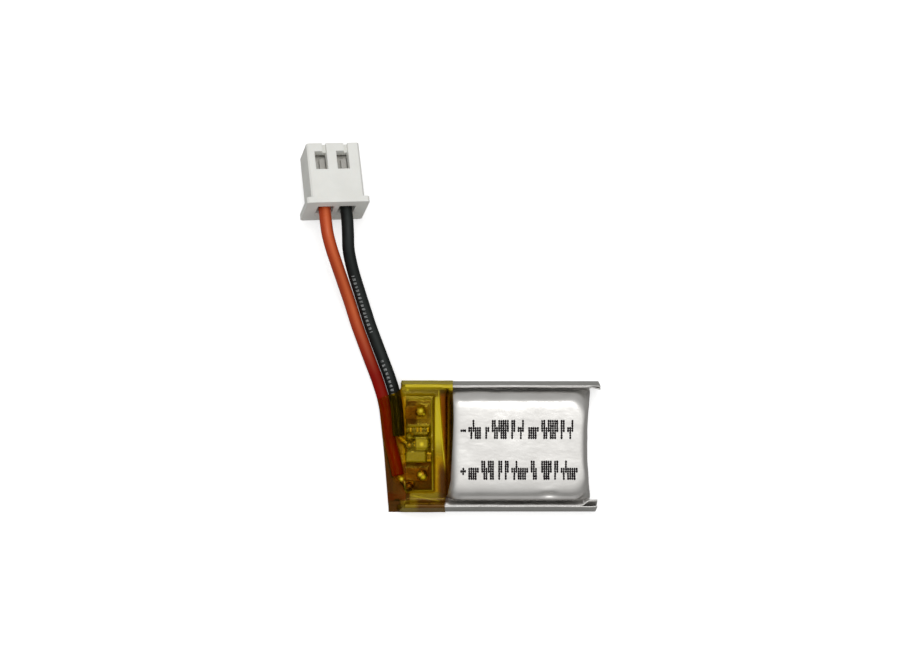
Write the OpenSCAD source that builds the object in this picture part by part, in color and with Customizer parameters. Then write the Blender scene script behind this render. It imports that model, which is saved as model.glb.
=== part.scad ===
// Small one-cell lithium-polymer pack: pouch cell, wound electrodes, protection board on the
// terrace, polyimide tape, two leads and a two-way plug. Millimetres.
// X runs along the cell from the tape end to the folded end, Y across it, Z up from the face
// that the cell rests on. The origin is under the middle of the taped pouch.

/* [Pouch] */
// Thickness of the cell, from its resting face to the top of the cup
cell_h = 5.0; // [4.8:0.1:5.4]
// Width of the pouch over its folded side seals
pouch_w = 15.0; // [14.8:0.1:15.4]
// Height of the top edges of the folded side seals
seal_h = 4.2; // [4.0:0.1:4.4]
// How far the side seals lean inwards at their top edges
seal_lean = 0.5; // [0.4:0.05:0.55]
// Thickness of the aluminium laminate
laminate_t = 0.12; // [0.1:0.01:0.12]
// X of the cup's wall at the terrace, at its foot
cup_x0 = -5.15; // [-5.3:0.05:-5.0]
// X of the cup's wall at the folded end, at its corners
cup_x1 = 11.65; // [11.5:0.05:11.7]
// Half of the cup's width
cup_half = 6.35; // [6.25:0.05:6.4]
// Radius of the cup's shoulders
shoulder_r = 0.95; // [0.7:0.05:1.0]
// X where the side seals end past the folded end
ear_x = 12.55; // [12.2:0.05:12.8]

/* [Winding] */
// Thickness of each coated electrode
electrode_t = 0.13; // [0.1:0.01:0.13]
// Thickness of each separator
separator_t = 0.03; // [0.02:0.01:0.03]
// Radius of the bend at the middle of the winding
core_r = 0.3; // [0.25:0.05:0.35]
// Number of turns
turns = 4.5; // [3.5:1:4.5]

/* [Tabs and board] */
// Width of each tab
tab_w = 1.5; // [1.2:0.1:1.6]
// Thickness of each tab
tab_t = 0.08; // [0.05:0.01:0.08]
// Y of the negative tab's middle
negative_tab_y = 3.7; // [3.5:0.1:3.9]
// Y of the positive tab's middle
positive_tab_y = -3.45; // [-3.5:0.05:-3.4]
// Length of the board along Y
board_len = 11.05; // [10.9:0.05:11.1]
// Width of the board along X
board_w = 3.2; // [3.1:0.05:3.25]
// Thickness of the board
board_t = 0.5; // [0.4:0.05:0.5]

/* [Tape] */
// Thickness of the wound polyimide tape
tape_t = 0.06; // [0.05:0.01:0.06]
// Height of the tape where it crosses the board
tape_top = 2.5; // [2.45:0.05:2.7]
// X of the tape's free end, beyond the board
tape_x0 = -12.55; // [-12.7:0.05:-12.5]

/* [Leads and plug] */
// Outside diameter of each lead
lead_d = 1.4; // [1.2:0.05:1.4]
// Diameter of the stranded conductor
conductor_d = 0.5; // [0.4:0.05:0.5]
// Distance between the two contacts
contact_pitch = 2.5; // [2.4:0.05:2.54]
// Width of the plug's body
plug_w = 6.1; // [6.1:0.1:6.8]
// Length of the plug
plug_len = 7.3; // [7.1:0.1:7.8]
// Depth of the plug's body
plug_d = 4.7; // [4.5:0.1:5.2]
// How far the plug's mating end points down
plug_pitch = 18; // [17:0.5:19]
// How far the plug leans to its right side
plug_roll = 15; // [14:0.5:16]

/* [Hidden] */

clear = 0.01;
wide = 60;
half_w = pouch_w / 2;

// The back's sealed plate stands this high, and the cell's own face bulges down to zero
seal_z = 0.1;
cup_z = seal_z + laminate_t;
side_x0 = -9.8;
ear_short = 0.35;
seal_bend = 0.35;
seal_foot = 6.2;
terrace_z = 0.5;

// The winding fills the cavity between these planes
roll_x0 = -3.7;
roll_x1 = 10.6;
roll_z = cell_h / 2;
roll_half = 5.9;
layer_gap = 0.01;
turn_pitch = 2 * (electrode_t + separator_t) + 4 * layer_gap;
roll_r = core_r + (turns + 1) * turn_pitch;
roll_centre = roll_half - roll_r;

// Depths of the layers within one turn
anode_o = 0;
inner_separator_o = electrode_t + layer_gap;
cathode_o = inner_separator_o + separator_t + layer_gap;
outer_separator_o = cathode_o + electrode_t + layer_gap;

// The strip that closes the winding
roll_tape_plan = [[-2, -1], [9, 4]];
roll_tape_t = 0.05;

// Heights of the stack on the terrace
insulation_t = 0.12;
board_z = terrace_z + insulation_t;
board_top = board_z + board_t;
plate_t = 0.1;
pad_t = 0.05;
board_x0 = -9.8;
board_y0 = -5.4;
film_t = 0.05;
film_w = tab_w + 0.6;
tab_z = cup_z + film_t + tab_t / 2;
tab_fold_x = side_x0 - 0.1;
tab_end_x = -7.3;
tab_fold_z = board_top + plate_t + tab_t / 2;

// Plans of what lies on the terrace, each from its low corner to its high corner
insulation_plan = [[side_x0 + 0.1, -5.5], [-6.4, 5.7]];
board_plan = [[board_x0, board_y0], [board_x0 + board_w, board_y0 + board_len]];
negative_plate = [[-9.6, 2.35], [-6.9, 5.15]];
positive_plate = [[-8.75, -5.1], [-6.9, -2.1]];
red_pad = [[-9.75, -5.3], [-8.95, -4.3]];
black_pad = [[-9.75, -0.6], [-9.1, 0.45]];
ic_plan = [[-8.7, -0.35], [-7.3, 0.95]];
mosfet_plan = [[-9.7, -2.0], [-7.6, -0.85]];
ic_gap = 0.1;
ic_h = 0.7;
ic_leg_pitch = 0.4;
mosfet_h = 0.6;

// Middles of the three small chips, and whether each lies along Y
chips = [[-8.85, 1.7, false], [-7.65, 1.7, false], [-7.1, -1.45, true]];
chip_len = 1.0;
chip_w = 0.5;
chip_h = 0.35;
cap_len = 0.2;

// Solder over each tab, and over each conductor's end
tab_dome_x = -8.1;
tab_dome_r = 0.65;
tab_dome_h = 0.45;
lead_dome_r = 0.45;
lead_dome_h = 0.78;

// Tape round the taped end
tape_z0 = 0.03;
tape_x1 = -4.4;
tape_short = 0.8;
tape_gap = 0.07;
tape_low_y = -7.2;
tape_mouth_y = 5.5;
valley_half = 6.05;

// Plug and contacts
flange_w = plug_w + 1.1;
flange_len = 0.7;
flange_back = 0.7;
cavity_w = 1.9;
cavity_d = 2.2;
front_wall = 0.7;
flange_front = 0.05;
pin_hole = 1.0;
window_x0 = -0.95;
window_x1 = 0.45;
window_len = 2.2;
window_end = 1.0;
key_slot_x0 = 0;
key_slot_len = 1.5;
key_slot_depth = 0.5;
plug_yaw = 7;
lead_depth = 1.6;
plug_z = plug_len * sin(plug_pitch)
    + (plug_w / 2 * sin(plug_roll) + plug_d / 2 * cos(plug_roll)) * cos(plug_pitch);
plug_at = [-17.75, 26.95, plug_z];

// Routes of the leads, from the stripped end at the board to the crimp in the plug
red_route = [
    [-10.7, -3.6, 1.25], [-10.86, -2.7, 1.15], [-11.19, -1.4, 1.0], [-11.69, 0.6, 0.8], [-11.99, 2.8, 0.78],
    [-12.4, 5.1, 0.76], [-13.1, 7.4, 0.74], [-13.93, 9.6, 0.73], [-14.75, 11.8, 0.75],
    [-15.5, 13.9, 1.0], [-16.1, 15.9, 1.7], [-16.65, 17.7, 2.8], [-17.15, 19.3, 4.0],
    [-17.65, 20.9, 5.15], [-18.15, 22.5, 5.95], [-18.58, 24.2, 6.2], [-18.82, 25.77, 5.84],
    [-18.96, 26.9, 5.47], [-19.15, 28.41, 4.98]
];
black_route = [
    [-10.62, 1.0, 1.65], [-10.7, 2.6, 1.5], [-10.86, 4.3, 1.25], [-11.16, 6.0, 0.95],
    [-11.72, 7.8, 0.75], [-12.39, 9.6, 0.73], [-13.18, 11.7, 0.75], [-13.95, 13.8, 0.95],
    [-14.57, 15.8, 1.6], [-15.14, 17.7, 2.6], [-15.6, 19.3, 3.65], [-15.99, 20.9, 4.6],
    [-16.25, 22.5, 5.35], [-16.3, 24.2, 5.6], [-16.4, 25.87, 5.23], [-16.54, 27.0, 4.86],
    [-16.72, 28.51, 4.36]
];
joint_z = board_top + pad_t + conductor_d / 2 + 0.06;
red_joint = [-9.7, -4.75, joint_z];
black_joint = [-9.4, -0.1, joint_z];

// ---- Helpers ----

function unit(v) = v / norm(v);

// Points of an arc about centre c
function arc(c, r, from, to, steps = 6) =
    [for (i = [0:steps]) let (a = from + (to - from) * i / steps) c + r * [cos(a), sin(a)]];

// Outline of a ribbon of thickness t that follows the points p in its own plane
function ribbon(p, t) =
    let (
        last = len(p) - 1,
        ahead = [for (i = [0:last]) unit(p[min(i + 1, last)] - p[min(i, last - 1)])],
        behind = [for (i = [0:last]) unit(p[max(i, 1)] - p[max(i - 1, 0)])],
        mitre = [for (i = [0:last]) let (s = ahead[i] + behind[i])
            [-s.y, s.x] / (1 + ahead[i] * behind[i])]
    )
    concat(
        [for (i = [0:last]) p[i] + mitre[i] * t / 2],
        [for (i = [last:-1:0]) p[i] - mitre[i] * t / 2]
    );

// An outline drawn in X and Z, given a width along Y about y
module across(y, w) {
    translate([0, y, 0]) rotate([90, 0, 0]) linear_extrude(height = w, center = true) children();
}

// An outline drawn in Y and Z, run along X from x0 to x1
module along(x0, x1) {
    translate([x0, 0, 0]) rotate([90, 0, 90]) linear_extrude(height = x1 - x0) children();
}

// A box between two corners
module block(low, high) {
    translate(low) cube(high - low);
}

// A flat piece of the given plan, between two heights
module slab(plan, z0, z1) {
    block([plan[0].x, plan[0].y, z0], [plan[1].x, plan[1].y, z1]);
}

// A round rod between two points
module rod(a, b, d) {
    v = b - a;
    translate(a)
        rotate([0, acos(v.z / norm(v)), atan2(v.y, v.x)])
        cylinder(d = d, h = norm(v), $fn = 32);
}

// A low dome of solder on a flat at height z
module solder_dome(x, y, z, r, h) {
    ball_r = (r * r + h * h) / (2 * h);
    intersection() {
        translate([x, y, z + h - ball_r]) sphere(r = ball_r, $fn = 48);
        block([x - 2 * ball_r, y - 2 * ball_r, z], [x + 2 * ball_r, y + 2 * ball_r, z + 2 * ball_r]);
    }
}

// ---- Pouch ----

// Side view of the cup, inset by o
function cup_side(o) =
    let (r = shoulder_r - o, top = cell_h - o, left = cup_x0 + 0.65 + o, right = cup_x1 - 0.25 - o)
    concat(
        [[cup_x0 + o, 0], [cup_x1 - o, 0]],
        arc([right - r, top - r], r, 0, 90),
        arc([left + r, top - r], r, 90, 180)
    );

// End view of the cup, inset by o
function cup_front(o) =
    let (r = shoulder_r - o, top = cell_h - o, half = cup_half - o)
    concat(
        [[-half, 0], [half, 0]],
        arc([half - r, top - r], r, 0, 90),
        arc([r - half, top - r], r, 90, 180)
    );

// Plan of the cup, inset by o: its folded end is drawn in between the corners
function cup_plan(o) =
    let (corner_r = 1.5 - o, half = cup_half - o, x1 = cup_x1 - o, pulled_in = 0.5)
    concat(
        [[cup_x0 - 1, -half]],
        arc([x1 - corner_r, corner_r - half], corner_r, -90, -15),
        [for (s = [-0.6:0.3:0.6]) [x1 - pulled_in * (1 - s * s), s * half]],
        arc([x1 - corner_r, half - corner_r], corner_r, 15, 90),
        [[cup_x0 - 1, half]]
    );

module cup_block(o) {
    intersection() {
        across(0, wide) polygon(cup_side(o));
        along(-wide, wide) polygon(cup_front(o));
        linear_extrude(height = cell_h) polygon(cup_plan(o));
    }
}

// The flat plate between the seals, from height z0 to z1
module seal_plate(z0, z1) {
    translate([0, 0, z0]) linear_extrude(height = z1 - z0) {
        polygon(cup_plan(0));
        translate([side_x0, -cup_half]) square([cup_x0 - side_x0, 2 * cup_half]);
    }
}

// One layer of a folded side seal between the insets o0 and o1 from its outside
function seal_edge(o) = [
    [seal_foot, seal_z + o],
    [half_w - seal_bend - 0.41 * o, seal_z + o],
    [half_w - o, seal_z + seal_bend + 0.41 * o],
    [half_w - seal_lean - o, seal_h]
];
function reversed(p) = [for (i = [len(p) - 1:-1:0]) p[i]];

module side_seals(o0, o1) {
    layer = concat(seal_edge(o0), reversed(seal_edge(o1)));
    along(side_x0, ear_x) polygon(layer);
    mirror([0, 1, 0]) along(side_x0, ear_x - ear_short) polygon(layer);
}

module pouch_cup() {
    color("gainsboro") difference() {
        union() {
            cup_block(0);
            side_seals(laminate_t, 2 * laminate_t);
            block([side_x0, -seal_foot - 0.1, cup_z], [cup_x0 + 0.3, seal_foot + 0.1, terrace_z]);
        }
        cup_block(laminate_t);
        block([-wide, -cup_half - 0.1, -1], [wide, cup_half + 0.1, cup_z]);
        for (y = [negative_tab_y, positive_tab_y])
            block(
                [side_x0 - 1, y - film_w / 2, cup_z - 1],
                [cup_x0 + 0.5, y + film_w / 2, cup_z + tab_t + 2 * film_t]
            );
    }
}

module pouch_back() {
    dish = 0.35;
    color("silver") difference() {
        union() {
            seal_plate(seal_z, cup_z);
            side_seals(0, laminate_t);
            block([cup_x0 + dish, -cup_half + dish, 0], [cup_x1 - 3 * dish, cup_half - dish, seal_z + clear]);
        }
        block(
            [cup_x0 + dish + laminate_t, -cup_half + dish + laminate_t, laminate_t],
            [cup_x1 - 3 * dish - laminate_t, cup_half - dish - laminate_t, 1]
        );
    }
}

// ---- Winding ----

// One flat-wound strip between the depths o0 and o1 within each turn
function winding_edge(o) =
    let (steps = 16)
    [for (i = [0:turns * steps]) let (
        a = -90 + 360 * (i + 0.5) / steps,
        r = core_r + o + turn_pitch * (i + 0.5) / steps,
        side = cos(a) > 0 ? 1 : -1
    ) [side * roll_centre + r * cos(a), roll_z + r * sin(a)]];

module winding(o0, o1) {
    along(roll_x0, roll_x1) polygon(concat(winding_edge(o0), reversed(winding_edge(o1))));
}

module anode_strip() {
    color("dimgray") winding(anode_o, anode_o + electrode_t);
}

module cathode_strip() {
    color("black") winding(cathode_o, cathode_o + electrode_t);
}

module separator_strips() {
    color("white") for (o = [inner_separator_o, outer_separator_o]) winding(o, o + separator_t);
}

module roll_tape() {
    top = cell_h - laminate_t - clear;
    color("seagreen") slab(roll_tape_plan, top - roll_tape_t, top);
}

// ---- Tabs and their seal ----

// A tab leaves the winding, passes the end seal, turns up past the board and folds back over it
module cell_tab(y, root_z) {
    path = [
        [roll_x0, root_z], [roll_x0 - 0.35, root_z], [cup_x0 + 0.5, 1.2], [cup_x0 + 0.35, tab_z],
        [tab_fold_x, tab_z], [tab_fold_x, tab_fold_z], [tab_end_x, tab_fold_z]
    ];
    across(y, tab_w) polygon(ribbon(path, tab_t));
}

module positive_tab() {
    color("lightgray") cell_tab(positive_tab_y, roll_z - 0.9);
}

module negative_tab() {
    color("silver") cell_tab(negative_tab_y, roll_z - 0.9);
}

module tab_films() {
    film_x0 = side_x0;
    film_x1 = cup_x0 - 0.05;
    color("khaki") for (y = [negative_tab_y, positive_tab_y], z = [cup_z, cup_z + film_t + tab_t])
        block([film_x0, y - film_w / 2, z], [film_x1, y + film_w / 2, z + film_t]);
}

// ---- Board ----

module terrace_insulation() {
    color("goldenrod") slab(insulation_plan, terrace_z, board_z);
}

module circuit_board() {
    color("darkgreen") slab(board_plan, board_z, board_top);
}

module cell_pad_plates() {
    color("lightgray") for (plan = [negative_plate, positive_plate]) slab(plan, board_top, board_top + plate_t);
}

module lead_pads() {
    color("silver") for (plan = [red_pad, black_pad]) slab(plan, board_top, board_top + pad_t);
}

module protection_ic() {
    color("black") slab(ic_plan, board_top + ic_gap, board_top + ic_gap + ic_h);
}

// Three gull-wing legs on each side
module protection_ic_legs() {
    leg_t = 0.1;
    leg_w = 0.22;
    foot_z = board_top + leg_t / 2;
    root_z = board_top + ic_gap + 0.3;
    color("silver") for (end = [0, 1], i = [0:2]) {
        x = ic_plan[end].x;
        out = end == 0 ? -1 : 1;
        across(ic_plan[0].y + 0.25 + ic_leg_pitch * i, leg_w) polygon(ribbon([
            [x, root_z], [x + 0.12 * out, root_z], [x + 0.16 * out, foot_z], [x + 0.32 * out, foot_z]
        ], leg_t));
    }
}

module mosfet_chip() {
    color("black") slab(mosfet_plan, board_top, board_top + mosfet_h);
}

module at_chip(i) {
    translate([chips[i][0], chips[i][1], board_top]) rotate([0, 0, chips[i][2] ? 90 : 0]) children();
}

module chip_body(i) {
    half = chip_len / 2 - cap_len;
    at_chip(i) block([-half, -chip_w / 2, 0], [half, chip_w / 2, chip_h]);
}

module chip_resistors() {
    color("black") for (i = [0, 1]) chip_body(i);
}

module chip_capacitor() {
    color("tan") chip_body(2);
}

module chip_end_caps() {
    color("silver") for (i = [0:2], side = [-1, 1]) at_chip(i)
        translate([side * (chip_len - cap_len) / 2, 0, chip_h / 2])
        cube([cap_len, chip_w, chip_h], center = true);
}

module cell_tab_solder() {
    top = tab_fold_z + tab_t / 2;
    color("lightgray") {
        solder_dome(tab_dome_x, negative_tab_y + 0.1, top, tab_dome_r, tab_dome_h);
        solder_dome(tab_dome_x + 0.15, positive_tab_y - 0.1, top, tab_dome_r, tab_dome_h);
    }
}

module lead_solder_joints() {
    color("lightgray") difference() {
        union() {
            solder_dome(red_joint.x + 0.25, red_joint.y - 0.1, board_top + pad_t, lead_dome_r, lead_dome_h);
            solder_dome(black_joint.x, black_joint.y, board_top + pad_t, lead_dome_r, lead_dome_h);
        }
        rod(red_route[0], red_joint, conductor_d + 2 * clear);
        rod(black_route[0], black_joint, conductor_d + 2 * clear);
    }
}

// ---- Tape ----

// Half of the tape's section over a folded seal and down to the board, inset by o
function tape_half(o) =
    let (edge = half_w + tape_gap - o, top = seal_h + tape_gap - o)
    [
        [0, tape_z0 + o],
        [half_w - seal_bend + tape_gap - 0.41 * o, tape_z0 + o],
        [edge, seal_z + seal_bend],
        [edge - seal_lean, top],
        [half_w - seal_lean - 0.35 + o, top],
        [valley_half + o, tape_top - o],
        [0, tape_top - o]
    ];

module tape_half_ring(x0, x1) {
    along(x0, x1) difference() {
        polygon(tape_half(0));
        polygon(concat(tape_half(tape_t), [[-1, tape_top - tape_t], [-1, tape_z0 + tape_t]]));
    }
}

module kapton_wrap() {
    riser = [[cup_x0 - 0.82, tape_top - tape_t / 2], [cup_x0 + 0.02, tape_top + 0.1], [cup_x0 + 0.52, 4.3]];
    color("goldenrod") {
        difference() {
            union() {
                tape_half_ring(side_x0, tape_x1);
                mirror([0, 1, 0]) tape_half_ring(side_x0, tape_x1 - tape_short);
            }
            // room for the cup's wall
            block([cup_x0 - 0.8, -valley_half - 0.6, 1], [0, valley_half + 0.6, 6]);
        }
        across(0, 2 * valley_half) polygon(ribbon(riser, tape_t));
        // the flat end past the board, closed at its tip and open where the leads come out
        difference() {
            across((tape_low_y + tape_mouth_y) / 2, tape_mouth_y - tape_low_y) difference() {
                polygon(tape_tip(0));
                polygon(tape_tip(tape_t));
            }
            block([side_x0, -wide, -1], [wide, wide, 6]);
        }
        across(tape_low_y + tape_t / 2, tape_t) intersection() {
            polygon(tape_tip(0));
            translate([-wide, 0]) square([wide + side_x0, 6]);
        }
        tape_end_wall();
    }
}

// Side view of the tape past the board, inset by o
function tape_tip(o) = [
    [tape_x0 + o, tape_z0 + o], [side_x0 + 1, tape_z0 + o], [side_x0 + 1, tape_top - o],
    [tape_x0 + 0.7 + o, tape_top - o], [tape_x0 + o, tape_top - 0.7 - o]
];

// Closes the ends of the two ribs over the side seals
module tape_end_wall() {
    along(side_x0 - tape_t, side_x0) difference() {
        union() {
            polygon(tape_half(0));
            mirror([1, 0]) polygon(tape_half(0));
        }
        translate([tape_low_y, -1]) square([tape_mouth_y - tape_low_y, tape_top - tape_t + 1]);
    }
}

// ---- Leads ----

// A tube of eight sides swept along the points of a route
module lead(route) {
    sides = 8;
    last = len(route) - 1;
    rings = [for (i = [0:last]) let (
        heading = unit(route[min(i + 1, last)] - route[max(i - 1, 0)]),
        right = unit(cross(heading, [0, 0, 1])),
        up = cross(right, heading)
    ) each [for (k = [0:sides - 1]) let (a = 360 * (k + 0.5) / sides)
        route[i] + lead_d / 2 * (cos(a) * right + sin(a) * up)]];
    walls = [for (i = [0:last - 1], k = [0:sides - 1]) let (j = (k + 1) % sides)
        each [
            [i * sides + k, i * sides + j, (i + 1) * sides + j],
            [i * sides + k, (i + 1) * sides + j, (i + 1) * sides + k]
        ]];
    ends = [
        [for (k = [sides - 1:-1:0]) k],
        [for (k = [0:sides - 1]) last * sides + k]
    ];
    polyhedron(points = rings, faces = concat(walls, ends));
}

module red_lead() {
    color("orangered") lead(red_route);
}

module black_lead() {
    color("black") lead(black_route);
}

module conductor_ends() {
    color("silver") {
        rod(red_route[0], red_joint, conductor_d);
        rod(black_route[0], black_joint, conductor_d);
        place_plug() for (side = [-1, 1])
            rod([side * contact_pitch / 2, lead_depth + clear, 0], [side * contact_pitch / 2, 3.1, 0], conductor_d);
    }
}

// ---- Plug ----

// Puts what is drawn in the plug's own frame in its place: X across the contacts, Y from the
// lead end to the mating end, Z out of the face with the windows
module place_plug() {
    translate(plug_at) rotate([0, 0, plug_yaw]) rotate([-plug_pitch, 0, 0]) rotate([0, plug_roll, 0]) children();
}

module plug_housing() {
    half_d = plug_d / 2;
    color("whitesmoke") place_plug() difference() {
        union() {
            block([-plug_w / 2, 0, -half_d], [plug_w / 2, plug_len, half_d]);
            block([-flange_w / 2, 0, -half_d - flange_back], [flange_w / 2, flange_len, half_d + flange_front]);
        }
        for (side = [-1, 1]) translate([side * contact_pitch / 2, 0, 0]) {
            block([-cavity_w / 2, -1, -cavity_d / 2], [cavity_w / 2, plug_len - front_wall, cavity_d / 2]);
            block([-pin_hole / 2, 1, -pin_hole / 2], [pin_hole / 2, plug_len + 1, pin_hole / 2]);
            block([window_x0, plug_len - window_end - window_len, 0], [window_x1, plug_len - window_end, plug_d]);
            block([key_slot_x0, plug_len - key_slot_len, half_d - key_slot_depth], [window_x1, plug_len + 1, plug_d]);
        }
    }
}

module crimp_terminals() {
    box_y0 = 3.2;
    box_y1 = plug_len - front_wall - 0.05;
    box_w = 1.5;
    box_d = 1.7;
    strip_t = 0.15;
    insulation_r = lead_d / 2 + 0.02;
    wire_r = conductor_d / 2 + 0.02;
    color("gold") place_plug() for (side = [-1, 1]) translate([side * contact_pitch / 2, 0, 0]) {
        difference() {
            block([-box_w / 2, box_y0, -box_d / 2], [box_w / 2, box_y1, box_d / 2]);
            block([-box_w / 2 + strip_t, box_y0 - 1, -box_d / 2 + strip_t],
                [box_w / 2 - strip_t, box_y1 + 1, box_d / 2 - strip_t]);
        }
        difference() {
            union() {
                block([-0.4, 0.3, -insulation_r - strip_t], [0.4, box_y0 + 0.1, -insulation_r]);
                block([-0.2, 1.8, -insulation_r - strip_t], [0.2, 2.9, 0]);
                rod([0, 0.3, 0], [0, 1.4, 0], 2 * (insulation_r + strip_t));
                rod([0, 1.8, 0], [0, 2.9, 0], 2 * (wire_r + strip_t));
            }
            rod([0, 0, 0], [0, 1.6, 0], 2 * insulation_r);
            rod([0, 1.7, 0], [0, 3.1, 0], 2 * wire_r);
        }
        // the lance that latches in the window
        lance_y = plug_len - window_end - window_len + 0.3;
        block([-0.3, lance_y, box_d / 2], [0.3, lance_y + 1.3, box_d / 2 + 0.5]);
    }
}

pouch_cup();
pouch_back();
anode_strip();
cathode_strip();
separator_strips();
roll_tape();
positive_tab();
negative_tab();
tab_films();
terrace_insulation();
circuit_board();
cell_pad_plates();
lead_pads();
protection_ic();
protection_ic_legs();
mosfet_chip();
chip_resistors();
chip_capacitor();
chip_end_caps();
cell_tab_solder();
lead_solder_joints();
kapton_wrap();
red_lead();
black_lead();
conductor_ends();
plug_housing();
crimp_terminals();
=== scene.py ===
import math

import bmesh
import bpy
import numpy as np
from mathutils import Matrix, Vector, noise
from mathutils.bvhtree import BVHTree

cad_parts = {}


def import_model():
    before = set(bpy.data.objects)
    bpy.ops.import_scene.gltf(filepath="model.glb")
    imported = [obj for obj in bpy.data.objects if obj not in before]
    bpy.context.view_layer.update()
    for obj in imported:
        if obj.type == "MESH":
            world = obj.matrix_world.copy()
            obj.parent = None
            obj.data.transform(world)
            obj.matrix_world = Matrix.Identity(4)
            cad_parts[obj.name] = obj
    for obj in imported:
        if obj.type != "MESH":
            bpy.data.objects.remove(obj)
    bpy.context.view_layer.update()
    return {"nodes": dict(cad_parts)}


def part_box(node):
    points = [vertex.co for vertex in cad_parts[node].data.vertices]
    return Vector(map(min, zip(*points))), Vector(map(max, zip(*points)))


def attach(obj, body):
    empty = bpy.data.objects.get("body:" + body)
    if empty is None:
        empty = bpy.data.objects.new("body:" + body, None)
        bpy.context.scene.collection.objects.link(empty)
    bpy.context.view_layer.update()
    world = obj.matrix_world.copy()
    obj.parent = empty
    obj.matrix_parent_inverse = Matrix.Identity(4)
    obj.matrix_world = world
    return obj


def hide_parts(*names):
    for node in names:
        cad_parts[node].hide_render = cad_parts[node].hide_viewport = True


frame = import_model()

# Shapes are worked out in millimetres and become metres when their mesh is made.
MM = 0.001


def put_in_scene(name, data):
    thing = bpy.data.objects.new(name, data)
    bpy.context.scene.collection.objects.link(thing)
    return thing


def box_mm(node):
    """A CAD node's lowest and highest corners, in millimetres."""
    low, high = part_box(node)
    return np.array(low) / MM, np.array(high) / MM


# ---- Camera ----

LENS_MM = 85.0
SENSOR_MM = 36.0
# How many millimetres the view takes in at the height FOCUS_Z, and the point it is centred on
VIEW_WIDTH = 103.1
VIEW_CENTRE = (-4.69, 13.77)
FOCUS_Z = 4.0


def make_camera():
    """A camera that looks straight down, as a new one does."""
    data = bpy.data.cameras.new("camera")
    data.lens = LENS_MM
    data.sensor_width = SENSOR_MM
    data.clip_start = 0.01
    data.clip_end = 10.0
    camera = put_in_scene("camera", data)
    distance = VIEW_WIDTH * LENS_MM / SENSOR_MM
    camera.location = Vector((*VIEW_CENTRE, FOCUS_Z + distance)) * MM
    bpy.context.scene.camera = camera


make_camera()


# ---- Materials ----

class Surface:
    """A procedural material. Sizes are in millimetres, measured in the object's own space."""

    def __init__(self, name, **inputs):
        self.material = bpy.data.materials.new(name)
        self.material.use_nodes = True
        self.tree = self.material.node_tree
        self.shader = self.tree.nodes["Principled BSDF"]
        self.output = self.tree.nodes["Material Output"]
        self.place = self.new("TexCoord").outputs["Object"]
        self.normal = None
        self.set(**inputs)

    def new(self, kind, inputs=None, **settings):
        """A new node with its settings, and its inputs fed by name or number."""
        node = self.tree.nodes.new("ShaderNode" + kind)
        for key, value in settings.items():
            setattr(node, key, value)
        for key, value in (inputs or {}).items():
            self.feed(node.inputs[key], value)
        return node

    def feed(self, socket, value):
        if isinstance(value, bpy.types.NodeSocket):
            self.tree.links.new(value, socket)
        elif isinstance(value, tuple) and socket.type == "RGBA":
            socket.default_value = (*value, 1.0)
        else:
            socket.default_value = value

    def set(self, **inputs):
        for key, value in inputs.items():
            self.feed(self.shader.inputs[key.replace("_", " ").title().replace("Ior", "IOR")], value)
        return self

    def scaled(self, size, stretch=(1, 1, 1)):
        """The point on the object, in units of size millimetres times stretch."""
        factors = tuple(1 / (MM * size * s) for s in stretch)
        return self.new("VectorMath", {0: self.place, 1: factors}, operation="MULTIPLY").outputs[0]

    def noise(self, size, detail=3.0, stretch=(1, 1, 1)):
        inputs = {"Vector": self.scaled(size, stretch), "Scale": 1.0, "Detail": detail, "Roughness": 0.55}
        return self.new("TexNoise", inputs).outputs["Fac"]

    def cells(self, size):
        return self.new("TexVoronoi", {"Vector": self.scaled(size), "Scale": 1.0}).outputs["Distance"]

    def attribute(self, name):
        return self.new("Attribute", attribute_name=name).outputs["Fac"]

    def axis(self, name):
        """The object's own X, Y or Z, in millimetres."""
        return self.new("SeparateXYZ", {0: self.scaled(1.0)}).outputs[name]

    def math(self, operation, a, b=0.5, c=0.5):
        return self.new("Math", {0: a, 1: b, 2: c}, operation=operation).outputs[0]

    def spread(self, value, low=0.0, high=1.0, start=0.35, end=0.65):
        """value mapped so that start gives low and end gives high, and no further."""
        inputs = {"Value": value, "From Min": start, "From Max": end, "To Min": low, "To Max": high}
        return self.new("MapRange", inputs).outputs[0]

    def mix(self, share, a, b):
        """The colour that goes from a to b as share rises from 0 to 1."""
        return self.new("Mix", {0: share, 6: a, 7: b}, data_type="RGBA").outputs[2]

    def patchy(self, value, colour, other):
        """Colours the surface from one colour to another as value rises."""
        return self.set(base_color=self.mix(self.spread(value), colour, other))

    def gloss(self, value, smooth, rough):
        """Roughens the surface from smooth to rough as value rises."""
        return self.set(roughness=self.spread(value, smooth, rough))

    def bump(self, height, depth):
        """Adds a bump whose full height is depth millimetres."""
        node = self.new("Bump", {"Strength": 1.0, "Distance": depth * MM, "Height": height})
        if self.normal:
            self.feed(node.inputs["Normal"], self.normal)
        self.normal = node.outputs[0]
        return self.set(normal=self.normal)


def grained(name, colour, other, size, roughness, depth):
    """A surface whose colour, gloss and height vary over patches about size millimetres across."""
    s = Surface(name)
    patches = s.noise(size, 4.0)
    grain = s.noise(size / 6)
    s.patchy(patches, colour, other)
    s.gloss(grain, *roughness)
    return s.bump(s.math("MULTIPLY_ADD", grain, 0.4, patches), depth).material


def laminate_material():
    s = Surface("laminate", metallic=0.85, coat_weight=0.25, coat_roughness=0.2)
    s.patchy(s.noise(4.0), (0.620, 0.606, 0.585), (0.665, 0.652, 0.632))
    s.gloss(s.noise(0.9), 0.28, 0.40)
    s.bump(s.noise(2.2, 2.0, (1.0, 0.6, 1.0)), 0.035)
    return s.bump(s.noise(0.25, 4.0), 0.004).material


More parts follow.
